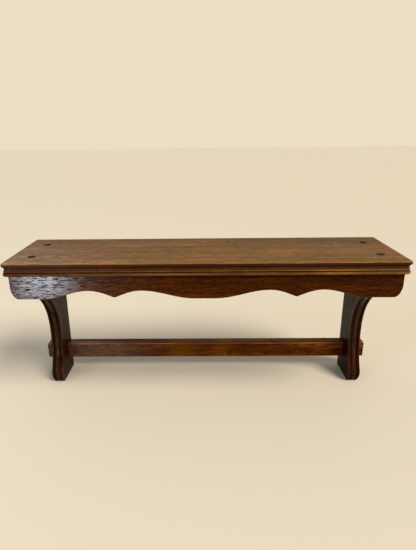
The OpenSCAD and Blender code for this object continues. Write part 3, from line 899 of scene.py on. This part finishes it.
def buildBracket(name, node, outside):
    low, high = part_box(node)
    railLow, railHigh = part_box("lower_rail")
    middle, width = (low.x + high.x) / 2, high.x - low.x
    section = mouldingSection(width / 2 / mm)
    line = frontEdge(high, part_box("apron")[1].y)
    rings, wearAndHighlight, stainAndShade = [], [], []

    def addRing(front, backZ, wearAndHighlightHere, stainAndShadeHere):
        sideY = front[0][1] + bracket["sideStep"] * mm
        rings.append(front + [(low.x, sideY, backZ), (low.x, high.y, backZ),
                              (high.x, high.y, backZ), (high.x, sideY, backZ)])
        wearAndHighlight.extend(wearAndHighlightHere + [0.0] * 4)
        stainAndShade.extend(stainAndShadeHere + [0.0] * 4)

    def across(x, z):
        # the outer lower corner of each foot is rounded by wear
        share = min(1.0, fade(z / mm, bracket["cornerWearHeight"]))
        wornOff = bracket["cornerWear"] * (1 - math.sqrt(1 - share * share))
        if x * outside > 0:
            x *= 1 - 2 * wornOff * mm / width
        return middle + x * mm

    plain = [0.0] * len(section)
    for z in (high.z, line[0].y + bracket["tipStep"] * mm):
        addRing([(middle + x * mm, line[0].x, z) for x, *_ in section], z, plain, plain)
    for k, point in enumerate(line):
        along = line[min(k + 1, len(line) - 1)] - line[max(k - 1, 0)]
        if k == len(line) - 1:
            along = Vector((1, 0))
        inward = Vector((-along.y, along.x)).normalized()
        front = [(across(x, point.y), point.x + inward.x * depth * mm,
                  point.y + inward.y * depth * mm) for x, depth, *_ in section]
        addRing(front, max(point.y, bracket["lastRing"] * mm), [w for _, _, w, _ in section],
                [g for *_, g in section])
    sole = line[-1].x + bracket["soleStep"] * mm
    addRing([(across(x, 0.0), sole, 0.0) for x, *_ in section], 0.0, plain, plain)
    piece = loftRings(name, rings, {"wearAndHighlight": wearAndHighlight, "stainAndShade": stainAndShade})

    gap = bracket["notchGap"] * mm
    notch = block("notch", Vector((low.x - cutterPast, railLow.y - gap, railLow.z - gap)),
                  Vector((high.x + cutterPast, high.y + cutterPast, railHigh.z + gap)))
    cut(piece, [notch])
    finishMesh(piece)
    place(piece, materials["bracket"], [node])


buildBracket("bracketLeft", "left_bracket", -1)
buildBracket("bracketRight", "right_bracket", 1)
print("stage: brackets")


# rails and glue blocks

lowerRail = {"ease": 1.3, "screwSink": 8.8, "sinkPoint": 0.2}
hangingRail = {"ease": 1.2, "wallPitch": 406.4, "wallHole": 5.2, "wallSink": 10.4,
               "sinkPoint": 0.1}
glueBlock = {"ease": 0.8, "flat": 1 / 3}      # flat is a share of the block's depth


def buildLowerRail():
    low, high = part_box("lower_rail")
    piece = easedPrism("lowerRail", boxOutline(low, high), low.x, high.x, lowerRail["ease"] * mm)
    sinks = []
    for node in ("rail_screw_left", "rail_screw_right"):
        screwLow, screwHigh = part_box(node)
        x, z = (screwLow.x + screwHigh.x) / 2, (screwLow.z + screwHigh.z) / 2
        sinks.append(countersink(x, high.y, z, lowerRail["screwSink"] / 2 * mm, -1,
                                 lowerRail["sinkPoint"] * mm))
    cut(piece, sinks)
    finishMesh(piece)
    place(piece, materials["rail"], ["lower_rail"])


def buildHangingRail():
    low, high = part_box("hanging_rail")
    piece = easedPrism("hangingRail", boxOutline(low, high), low.x, high.x,
                       hangingRail["ease"] * mm)
    holes = []
    for side in (-1, 1):
        x, z = side * hangingRail["wallPitch"] / 2 * mm, (low.z + high.z) / 2
        holes.append(cylinder("hole", hangingRail["wallHole"] / 2 * mm,
                              (x, low.y - cutterPast, z), (x, high.y + cutterPast, z)))
        holes.append(countersink(x, low.y, z, hangingRail["wallSink"] / 2 * mm, 1,
                                 hangingRail["sinkPoint"] * mm))
    cut(piece, holes)
    finishMesh(piece)
    place(piece, materials["rail"], ["hanging_rail"])


def buildBlock(name, node):
    low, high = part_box(node)
    flat = (high.y - low.y) * glueBlock["flat"]
    outline = [(low.y, high.z), (low.y, low.z), (low.y + flat, low.z),
               (high.y, high.z - flat), (high.y, high.z)]
    piece = easedPrism(name, outline, low.x, high.x, glueBlock["ease"] * mm)
    finishMesh(piece)
    place(piece, materials["block"], [node])


buildLowerRail()
buildHangingRail()
for side in ("left", "centre", "right"):
    buildBlock("block" + side.capitalize(), "glue_block_" + side)
print("stage: rails and blocks")


# plugs: one node tree sets the same plug over each of the four screws

plug = {"Crown": 0.15, "Ease": 0.25, "Rim power": 10, "Sides": 64, "Rings": 8}


def plugTree(sizes):
    tree, given = newTree("plugs", sizes)
    grid = addNode(tree, "GeometryNodeMeshGrid", Size_X=given["Pitch X"], Size_Y=given["Pitch Y"],
                   Vertices_X=2, Vertices_Y=2)
    body = addNode(tree, "GeometryNodeMeshCylinder", {"fill_type": "TRIANGLE_FAN"},
                   Vertices=given["Sides"], Side_Segments=1, Fill_Segments=given["Rings"],
                   Radius=given["Radius"], Depth=given["Length"])
    where = addNode(tree, "GeometryNodeInputPosition").outputs[0]
    height = addNode(tree, "ShaderNodeSeparateXYZ", Vector=where).outputs["Z"]
    away = vectorCalc(tree, "LENGTH", vectorCalc(tree, "MULTIPLY", where, (1, 1, 0)))
    share = calc(tree, "DIVIDE", away, given["Radius"])
    rim = calc(tree, "MULTIPLY", given["Ease"], calc(tree, "POWER", share, given["Rim power"]))
    crown = calc(tree, "MULTIPLY", given["Crown"], calc(tree, "MULTIPLY", share, share))
    drop = calc(tree, "MULTIPLY", calc(tree, "GREATER_THAN", height, 0.0),
                calc(tree, "MULTIPLY", calc(tree, "ADD", rim, crown), -1.0))
    shaped = addNode(tree, "GeometryNodeSetPosition", Geometry=body.outputs[0], Offset=addNode(
        tree, "ShaderNodeCombineXYZ", Z=drop).outputs[0])
    copies = addNode(tree, "GeometryNodeInstanceOnPoints", Points=grid.outputs[0],
                     Instance=shaped.outputs[0])
    endTree(tree, copies.outputs[0], given)
    return tree


def buildPlugs():
    boxes = [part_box(node) for node in plugNodes]
    centres = [(low + high) / 2 for low, high in boxes]
    low, high = boxes[0]
    xs, ys = [c.x for c in centres], [c.y for c in centres]
    sizes = inMetres(plug)
    sizes["Radius"] = (high.x - low.x) / 2
    sizes["Length"] = high.z - low.z
    sizes["Pitch X"], sizes["Pitch Y"] = max(xs) - min(xs), max(ys) - min(ys)
    piece = runTree("plugs", plugTree(sizes), sizes, materials["plug"])
    middle = ((max(xs) + min(xs)) / 2, (max(ys) + min(ys)) / 2, centres[0].z)
    piece.data.transform(Matrix.Translation(middle))
    finishMesh(piece)
    place(piece, materials["plug"], plugNodes)


buildPlugs()
print("stage: plugs")


# screws and dowels keep their own solids, with a finish of their own

for node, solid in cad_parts.items():
    finish = "screw" if "screw" in node else "dowel" if "dowel" in node else None
    if finish:
        solid.data.materials.clear()
        solid.data.materials.append(materials[finish])


# floor, background and light

studio = {
    "floor": (0.855, 0.81, 0.705), "bounce": (0.20, 0.10, 0.05), "floorHalf": 12.0,
    "floorRoughness": 0.6, "floorSpecular": 0.2,
    "background": (0.84, 0.73, 0.56), "dimSide": (0.12, 0.12, 0.13),
    "windowSide": (1.0, 0.95, 0.9), "windowFrom": (-0.05, -0.45),
    "behindFrom": (-0.5, 0.3), "skyline": (0.05, 0.4, 0.35, 1.0),
    "fill": (0.80, 0.74, 0.66), "fillStrength": 0.42,
}

lamps = [
    {"name": "roomLight", "kind": "SUN", "at": (1.0, -0.85, 1.3), "aim": (0.0, 0.0, 0.0),
     "spread": 30.0, "power": 2.7, "colour": (1.0, 0.87, 0.7)},
    {"name": "windowLight", "kind": "AREA", "at": (-1.5, -1.3, 1.2), "aim": (0.0, 0.0, 0.15),
     "size": (1.2, 1.0), "cone": 180.0, "power": 7.0, "colour": (0.86, 0.93, 1.0)},
    {"name": "lowLight", "kind": "AREA", "at": (-0.445, -0.6, 0.062), "aim": (-0.24, -0.07, 0.22),
     "size": (0.12, 0.12), "cone": 40.0, "power": 0.045, "colour": (0.72, 0.87, 1.0)},
]


def seenRays(tree):
    rays = addNode(tree, "ShaderNodeLightPath")
    return rays.outputs["Is Camera Ray"], calc(
        tree, "MAXIMUM", rays.outputs["Is Glossy Ray"], rays.outputs["Is Transmission Ray"])


def addFloor():
    half = studio["floorHalf"]
    mesh = bpy.data.meshes.new("floor")
    mesh.from_pydata([(-half, -half, 0), (half, -half, 0), (half, half, 0), (-half, half, 0)],
                     [], [(0, 1, 2, 3)])
    floor = asObject("floor", mesh)
    material, tree, shader = newMaterial("floorPaint")
    seen = calc(tree, "MAXIMUM", *seenRays(tree))
    feed(tree, shader.inputs["Base Color"],
         mixColour(tree, seen, studio["bounce"], studio["floor"]))
    shader.inputs["Roughness"].default_value = studio["floorRoughness"]
    shader.inputs["Specular IOR Level"].default_value = studio["floorSpecular"]
    mesh.materials.append(material)


def addWorld():
    # pale all round for the camera; reflections find it pale behind the part and dimmer in front
    world = bpy.data.worlds.new("studio")
    scene.world = world
    world.use_nodes = True
    tree = world.node_tree
    tree.nodes.clear()
    towards = addNode(tree, "ShaderNodeSeparateXYZ",
                      Vector=addNode(tree, "ShaderNodeTexCoord").outputs["Generated"]).outputs
    behind = calc(tree, "MULTIPLY", span(tree, towards["Y"], *studio["behindFrom"], smooth=True),
                  span(tree, towards["Z"], *studio["skyline"]))
    pale = mixColour(tree, span(tree, towards["X"], *studio["windowFrom"], smooth=True),
                     studio["background"], studio["windowSide"])
    mirrored = mixColour(tree, behind, studio["dimSide"], pale)
    camera, glossy = seenRays(tree)
    fill = tuple(channel * studio["fillStrength"] for channel in studio["fill"])
    colour = mixColour(tree, camera, mixColour(tree, glossy, fill, mirrored), studio["background"])
    light = addNode(tree, "ShaderNodeBackground", Color=colour, Strength=1.0)
    tree.links.new(light.outputs[0], addNode(tree, "ShaderNodeOutputWorld").inputs[0])


def addLamps():
    for lamp in lamps:
        data = bpy.data.lights.new(lamp["name"], lamp["kind"])
        if lamp["kind"] == "SUN":
            data.angle = math.radians(lamp["spread"])
        else:
            data.shape = "RECTANGLE"
            data.size, data.size_y = lamp["size"]
            data.spread = math.radians(lamp["cone"])
        data.energy = lamp["power"]
        data.color = lamp["colour"]
        light = bpy.data.objects.new(lamp["name"], data)
        light.location = lamp["at"]
        aim = Vector(lamp["aim"]) - Vector(lamp["at"])
        light.rotation_euler = aim.to_track_quat("-Z", "Y").to_euler()
        light.visible_camera = False
        scene.collection.objects.link(light)


addFloor()
addWorld()
addLamps()
print("stage: floor and light")
